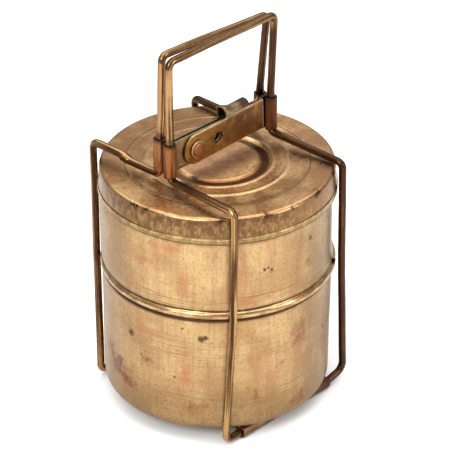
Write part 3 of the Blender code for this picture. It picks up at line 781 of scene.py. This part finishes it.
def make_lower_bowl(mat):
    """Straight wall with a rounded bottom corner, open at the top."""
    radius = LOWER_R + 0.4
    inner = radius - SHEET
    outline = outline_of([
        (0, BOWL_Z + SHEET, 0),
        (inner - TAPER, BOWL_Z + SHEET, 4.4),
        (inner, RIM_Z, 0.5),
        (radius, RIM_Z, 0.5),
        (radius - TAPER, BOWL_Z, 6.0),
        (0, BOWL_Z, 0),
    ], arc_steps=10)
    bm = spun(dense(outline, 3.0), WALL_STEPS, hand_spun)
    lean(bm, BOWL_Z, RIM_Z, 1.3, 0.7, UPPER_TOP)
    piece_from("lower_bowl_wall", bm, mat, "lower_bowl", ["lower_bowl"])


def make_upper_bowl(mat):
    """Foot that nests in the lower bowl, half-round bead, wall and necked-in rim."""
    neck = UPPER_TOP - 14.6
    inner_foot, inner_wall = FOOT_R - SHEET, UPPER_R - SHEET
    bead_r = BEAD_R - 0.25
    half = BEAD_HALF_H
    bead = [(UPPER_R - 0.9 + (bead_r - UPPER_R + 0.9) * math.cos(t), SEAT_Z + half + half * math.sin(t))
            for t in (math.radians(68 - 158 * k / 18) for k in range(19))]
    inside = outline_of([
        (0, FLOOR_Z + SHEET, 0),
        (inner_foot, FLOOR_Z + SHEET, 2.5),
        (inner_foot, SEAT_Z + 1.2, 1.5),
        (inner_wall, SEAT_Z + 3.4, 1.5),
        (inner_wall, neck, 2.0),
        (NECK_R - SHEET, neck + 1.2, 2.0),
        (NECK_R - SHEET, UPPER_TOP, 0.45),
        (NECK_R, UPPER_TOP, 0.45),
        (NECK_R, neck + 1.2, 1.0),
        (UPPER_R, neck, 1.0),
        (UPPER_R, SEAT_Z + 5.6, 0),
    ], arc_steps=6)
    foot = outline_of([
        (FOOT_R, SEAT_Z, 0),
        (FOOT_R, FLOOR_Z, 3.6),
        (0, FLOOR_Z, 0),
    ], arc_steps=8)
    outline = inside + bead + foot
    bm = spun(dense(outline, 3.0), WALL_STEPS, hand_spun)
    lean(bm, SEAT_Z + 5.0, SEAT_Z + 9.0, 0.0, 1.0, neck - 0.5)
    piece_from("upper_bowl_wall", bm, mat, "upper_bowl", ["upper_bowl"])


def lid_relief(r):
    """Height of the lid's pressed rings above or below its top face, at radius r."""
    disc = 0.30 * (1 - bow(r, 21.6, 24.0)) - 0.06 * (r / 22) ** 2 * (r < 22)
    groove = -0.90 * bow(r, 21.8, 24.2) * (1 - bow(r, 27.2, 29.4))
    crest = 0.38 * hump(r, CREST_R, 1.1)
    dish = -0.28 * bow(r, 37.8, 40.2) * (1 - bow(r, 47.4, 50.4))
    ring = 0.22 * hump(r, RING_R, 1.1)
    line = -0.10 * hump(r, 50.7, 0.5)
    return disc + groove + crest + dish + ring + line


def make_lid(mat):
    """Flat-topped cap with pressed rings and a skirt whose lower edge is hemmed."""
    flat = [k / 2 for k in range(119)]
    under = [(r, LID_TOP_Z - SHEET + lid_relief(r)) for r in flat]
    above = [(r, LID_TOP_Z + lid_relief(r)) for r in reversed(flat)]
    top_r = LID_R - 1.15
    side = outline_of([
        (59.5, LID_TOP_Z - SHEET, 0),
        (top_r - SHEET, LID_TOP_Z - SHEET, 1.0),
        (LID_R - SHEET, LID_BOTTOM, 0.3),
        (LID_R + 0.15, LID_BOTTOM, 0.6),
        (LID_R + 0.13, LID_BOTTOM + 3.5, 0.5),
        (LID_R - 0.42, LID_BOTTOM + 3.9, 0.25),
        (LID_R - 0.30, LID_BOTTOM + 4.5, 0.4),
        (top_r, LID_TOP_Z, 2.1),
        (59.5, LID_TOP_Z, 0),
    ], arc_steps=8)
    outline = under + side + above

    def warp(r, a, z):
        out, _ = hand_spun(r, a, z)
        sag = 0.10 * noise.noise(Vector((r * math.cos(a), r * math.sin(a), 9)) * 0.03)
        return out, sag * (1 - bow(r, 50, 64))

    bm = spun(dense(outline, 2.0), WALL_STEPS, warp)
    piece_from("lid_cap", bm, mat, "lid", ["lid"])


def front_frame_corners():
    """Bend points and radii of the front half-frame: loop, far side down, bottom run, near side up."""
    near, far = FRONT_SLEEVES
    return [
        ((-39.4, -LOOP_Y, 216.8), BEND_R),
        ((39.0, -LOOP_Y, 217.5), BEND_R),
        ((far, -LOOP_Y, KINK_Z), KINK_R),
        ((far, -LOOP_Y, LID_TOP_Z + 5.1), BEND_R),
        ((41.3, -53.6, LID_TOP_Z + 2.1), BEND_R),
        ((44.9, -51.2, 75.0), 60),
        ((50.4, -48.7, HINGE_Z + 3.1), 6),
        ((38.4, FRONT_HINGE_Y, HINGE_Z), BEND_R),
        ((-43.2, FRONT_HINGE_Y, HINGE_Z), BEND_R),
        ((-41.8, -53.2, 84.0), 60),
        ((-41.3, -53.7, LID_TOP_Z + 5.8), BEND_R),
        ((near, -LOOP_Y, LID_TOP_Z + 4.6), BEND_R),
        ((near, -LOOP_Y, KINK_Z), KINK_R),
    ]


def rear_frame_corners():
    """The same for the rear half-frame, whose near arm steps up where the rod's ends are joined."""
    near, far = REAR_SLEEVES
    return [
        ((-35.7, LOOP_Y, 216.3), BEND_R),
        ((42.6, LOOP_Y, 213.2), BEND_R),
        ((far, LOOP_Y, KINK_Z), KINK_R),
        ((far, LOOP_Y, LID_TOP_Z + 4.4), BEND_R),
        ((37.8, 56.2, LID_TOP_Z + 2.6), BEND_R),
        ((46.4, REAR_HINGE_Y, HINGE_Z + 7.5), 6),
        ((38.4, REAR_HINGE_Y, HINGE_Z), BEND_R),
        ((-43.9, REAR_HINGE_Y, HINGE_Z), BEND_R),
        ((-41.4, 53.8, LID_TOP_Z + 6.9), BEND_R),
        ((-40.1, 33.5, LID_TOP_Z + 6.6), 6),
        ((-39.6, 27.0, LID_TOP_Z + 4.4), 6),
        ((near, LOOP_Y, LID_TOP_Z + 4.1), BEND_R),
        ((near, LOOP_Y, KINK_Z), KINK_R),
        ((-36.9, LOOP_Y, SLEEVE_HIGH + 11.6), 20),
    ]


def collar_swell(here):
    """Old grime packed where the rod enters its sleeves."""
    return 0.27 * hump(here.z, SLEEVE_HIGH, 2.2) + 0.2 * hump(here.z, SLEEVE_LOW, 1.6)


def braze_swell(here, out):
    """The lump of braze that joins the rear rod's two ends, in its near arm."""
    d = (here - BRAZE).length
    lumps = 0.5 + 0.9 * noise.noise(here * 0.55 + out * 1.2 + Vector((2, 7, 1)))
    return 0.75 * math.exp(-(d / 3.0) ** 4) * max(lumps, 0.0) + collar_swell(here)


def make_rods(front_mat, rear_mat):
    """The two half-frames."""
    bm = swept_rod(front_frame_corners(), ROD_R, lambda here, _: collar_swell(here))
    piece_from("front_rod", bm, front_mat, "front_frame", ["front_frame_rod"])
    bm = swept_rod(rear_frame_corners(), ROD_R, braze_swell)
    piece_from("rear_rod", bm, rear_mat, "rear_frame", ["rear_frame_rod"])


def make_cross_plate(name, side, sleeves, mat, body, node):
    """Strip with its ends wrapped round the handle's legs as tall sleeves."""
    near, far = sleeves
    inside_y = side * (LOOP_Y - ROLL_R)
    start = -90 * side
    near_roll = arc((near, side * LOOP_Y), ROLL_R, start - side * 285, start, 40)
    far_roll = arc((far, side * LOOP_Y), ROLL_R, start, start + side * 285, 40)
    plain_x = [near + 4.4, near + 5.0, near + 6.5, far - 6.5, far - 5.0, far - 4.4]
    path = near_roll + [Vector((x, inside_y)) for x in plain_x] + far_roll
    sleeve = (SLEEVE_LOW, SLEEVE_HIGH)
    strip = (PLATE_Z - PLATE_HALF_H, PLATE_Z + PLATE_HALF_H)
    shoulder = (SLEEVE_LOW + 0.3, SLEEVE_HIGH - 0.4)
    far_sleeve = sleeve if side < 0 else (SLEEVE_LOW, SLEEVE_HIGH - 1.3)
    spans = [sleeve] * (len(near_roll) + 1) + [shoulder, strip, strip, shoulder]
    spans += [far_sleeve] * (len(far_roll) + 1)
    bm = bent_strip(path, STRIP, spans, lambda x, y, z: (x, y, z))
    plate = piece_from(name, bm, mat, None)
    drill(plate, PADLOCK_X, PLATE_Z + 0.6, 3.2, inside_y, 2.0)
    if side < 0:
        drill(plate, RIVET_X, RIVET_Z, 2.6, inside_y, 2.0)
    soften_edges(plate, 0.16)
    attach(plate, body)
    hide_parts(node)


def make_latch(mat):
    """Lever and folded hook in one worn piece of sheet, the hook flared at its near end."""
    back_y, front_y = PLATE_FRONT - GAP, PLATE_FRONT - GAP - LEVER_T
    middle_y = (front_y + back_y) / 2
    half = LEVER_HALF_H
    outline = [(p.x, p.y) for p in arc((RIVET_X, RIVET_Z), half, 90, 270, 40)]
    low_z = RIVET_Z - half
    outline += [(LEVER_END - 0.6, low_z), (LEVER_END, low_z + 0.6), (LEVER_END, RIVET_Z + half)]
    bm = bmesh.new()
    face = bm.faces.new([bm.verts.new((x, front_y, z)) for x, z in outline])
    grown = bmesh.ops.extrude_face_region(bm, geom=[face])
    moved = [v for v in grown["geom"] if isinstance(v, bmesh.types.BMVert)]
    bmesh.ops.translate(bm, vec=(0, LEVER_T, 0), verts=moved)
    bmesh.ops.recalc_face_normals(bm, faces=bm.faces)
    lever = piece_from("latch_lever_sheet", bm, mat, None)

    crown, top_z = -middle_y, RIVET_Z + half + 0.2
    lip_z = PLATE_Z + PLATE_HALF_H - 5.0
    bend = [Vector((middle_y, top_z - 2.4)), Vector((middle_y, top_z - 1.2))]
    bend += arc((0, top_z), crown, 180, 0, 30) + [Vector((crown, lip_z))]
    hook = bent_strip(bend, LEVER_T - 0.1, [(4.0, 21.5)] * len(bend), lambda y, z, x: (x, y, z), across=20)
    for v in hook.verts:
        flare = (1 - bow(v.co.x, 4.0, 11.0)) * bow(v.co.z, top_z - 1.0, top_z + 2.0)
        v.co.y += 1.3 * flare * bow(v.co.y, -2.0, 3.0)
        v.co.z += 1.7 * flare
    combine(lever, mesh_object("hook", hook), "UNION")
    drill(lever, PADLOCK_X, RIVET_Z, 3.2, middle_y, 2.4)
    drill(lever, RIVET_X, RIVET_Z, 2.75, middle_y, 2.4)

    skin = lever.modifiers.new("skin", "REMESH")
    skin.mode, skin.voxel_size, skin.adaptivity = "VOXEL", 0.26 * MM, 0.0
    worn = lever.modifiers.new("worn", "SMOOTH")
    worn.factor, worn.iterations = 0.5, 5
    apply_modifiers(lever)
    tilt = (Matrix.Translation(Vector((RIVET_X, 0, RIVET_Z)) * MM) @ Matrix.Rotation(-LEVER_TILT, 4, "Y")
            @ Matrix.Translation(-Vector((RIVET_X, 0, RIVET_Z)) * MM))
    lever.data.transform(tilt)
    lever.data.polygons.foreach_set("use_smooth", [True] * len(lever.data.polygons))
    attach(lever, "latch")
    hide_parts("latch_lever")


def make_rivet(copper, brass):
    """Hammered copper rivet on its brass washer."""
    plate_back, lever_front = PLATE_FRONT + STRIP, PLATE_FRONT - GAP - LEVER_T
    face = lever_front - GAP
    ring = outline_of([(2.7, face, 0), (5.05, face, 0.2), (5.05, face - 0.9, 0.35),
                    (4.3, face - 1.0, 0.2), (2.7, face - 1.0, 0)], arc_steps=4)
    bm = turned_along_y(ring, RIVET_X, RIVET_Z, ruffle=0.03)
    piece_from("rivet_ring", bm, brass, "front_frame", ["rivet_washer"])
    head = face - 1.1
    dome = outline_of([(0, head - 0.95, 0), (3.2, head - 0.9, 1.4), (4.1, head - 0.45, 0.4),
                    (4.1, head, 0.15), (2.45, head, 0), (2.45, plate_back + 0.1, 0),
                    (3.6, plate_back + 0.1, 0.1), (3.4, plate_back + 0.65, 0.3),
                    (0, plate_back + 0.75, 0)], arc_steps=5)
    bm = turned_along_y(dense(dome, 0.5), RIVET_X, RIVET_Z, ruffle=0.07)
    piece_from("rivet_head", bm, copper, "front_frame", ["latch_rivet"])


def make_base_plate(mat):
    """Flat strip with both ends rolled under and their undersides pressed flat."""
    low, high = 255, 285
    barrel = arc((0, HINGE_Z), ROLL_R, high + 100, high, 18) + arc((0, HINGE_Z), ROLL_R, low, 90, 26)
    flat = [Vector((y, HINGE_Z + ROLL_R)) for y in range(-43, 48, 5)]
    path = [Vector((FRONT_HINGE_Y + p.x, p.y)) for p in barrel] + flat
    path += [Vector((REAR_HINGE_Y - p.x, p.y)) for p in reversed(barrel)]
    spans = [(base_low.x, base_high.x)] * len(path)
    bm = bent_strip(path, STRIP, spans, lambda y, z, x: (x, y, z), across=16)
    plate = piece_from("base_strip", bm, mat, "base", ["base_plate"])
    soften_edges(plate, 0.2)


# ---- the scene round the object ----
def area_light(name, at, towards, size, power, colour=(1, 1, 1)):
    """A soft rectangular studio light; places and sizes in metres."""
    data = bpy.data.lights.new(name, "AREA")
    data.shape, data.size, data.size_y = "RECTANGLE", size[0], size[1]
    data.energy, data.color = power, colour
    obj = new_object(name, data)
    obj.location = at
    obj.rotation_mode = "QUATERNION"
    obj.rotation_quaternion = (Vector(towards) - Vector(at)).to_track_quat("-Z", "Y")


def make_stage():
    """Pale floor, soft light and an even pale surround."""
    bm = bmesh.new()
    bmesh.ops.create_grid(bm, x_segments=1, y_segments=1, size=4.0)
    mesh = bpy.data.meshes.new("floor")
    bm.to_mesh(mesh)
    bm.free()
    floor = new_object("floor", mesh)
    s = Shade("pale_floor")
    soft = s.grains(0.004, 0.004, 0.004, detail=2.0)
    s.colour = mix(s, soft, (0.93, 0.93, 0.925), (0.95, 0.95, 0.945))
    s.finish(0.6, None, metallic=0.0)
    mesh.materials.append(s.material)

    world = bpy.data.worlds.new("studio")
    bpy.context.scene.world = world
    world.use_nodes = True
    world.node_tree.nodes["Background"].inputs[0].default_value = (1.0, 0.99, 0.975, 1.0)
    world.node_tree.nodes["Background"].inputs[1].default_value = 0.58
    middle = (0, 0, 0.10)
    area_light("key", (-1.15, -0.35, 0.95), middle, (0.7, 0.7), 14.0)
    area_light("fill", (0.45, -1.25, 0.60), middle, (0.5, 0.9), 8.0)
    area_light("top", (0.1, 0.1, 1.6), middle, (2.4, 2.4), 36.0)


def make_camera():
    """A long lens from the front left, looking down by about thirty degrees."""
    data = bpy.data.cameras.new("camera")
    data.sensor_width = 36.0
    data.lens = 203.94
    camera = new_object("camera", data)
    camera.location = (-0.8466, -0.85212, 0.81174)
    right = Vector((0.70518, -0.70902, -0.00459))
    up = Vector((0.36367, 0.35612, 0.86077))
    back = Vector((-0.60866, -0.60866, 0.50898))
    camera.rotation_mode = "QUATERNION"
    camera.rotation_quaternion = Matrix((right, up, back)).transposed().to_quaternion()
    data.clip_start, data.clip_end = 0.05, 20.0
    bpy.context.scene.camera = camera


def main():
    """Camera, stage, materials and pieces."""
    make_camera()
    make_stage()
    bpy.context.scene.view_settings.view_transform = "Standard"
    lower_mat = bowl_brass("worn_lower_bowl", "lower", [(BOWL_Z, 8.0), (SEAT_Z - 0.2, 4.0)], 58.0)
    upper_mat = bowl_brass("worn_upper_bowl", "upper", [(SEAT_Z + 5.0, 2.5), (LID_BOTTOM, 3.0)], 88.0)
    lid_mat = lid_brass("tarnished_lid")
    front_rod_mat = rod_brass("tarnished_front_rod", 0.0)
    rear_rod_mat = rod_brass("tarnished_rear_rod", 4.7)
    base_mat = base_brass("tarnished_base")
    plate_mat = cross_plate_brass("tarnished_cross_plate")
    ring_mat = sheet_brass("washer_brass", (0.40, 0.27, 0.12), (0.26, 0.16, 0.07), (0.55, 0.40, 0.22))
    lever_mat = lever_brass("ochre_lever")
    copper_mat = sheet_brass("dull_copper", (0.30, 0.115, 0.065), (0.19, 0.068, 0.04), (0.36, 0.19, 0.11),
                             0.40, 0.56)
    make_base_plate(base_mat)
    make_lower_bowl(lower_mat)
    make_upper_bowl(upper_mat)
    make_lid(lid_mat)
    make_rods(front_rod_mat, rear_rod_mat)
    make_cross_plate("front_strip", -1, FRONT_SLEEVES, plate_mat, "front_frame", "front_cross_plate")
    make_cross_plate("rear_strip", 1, REAR_SLEEVES, plate_mat, "rear_frame", "rear_cross_plate")
    make_rivet(copper_mat, ring_mat)
    make_latch(lever_mat)


main()
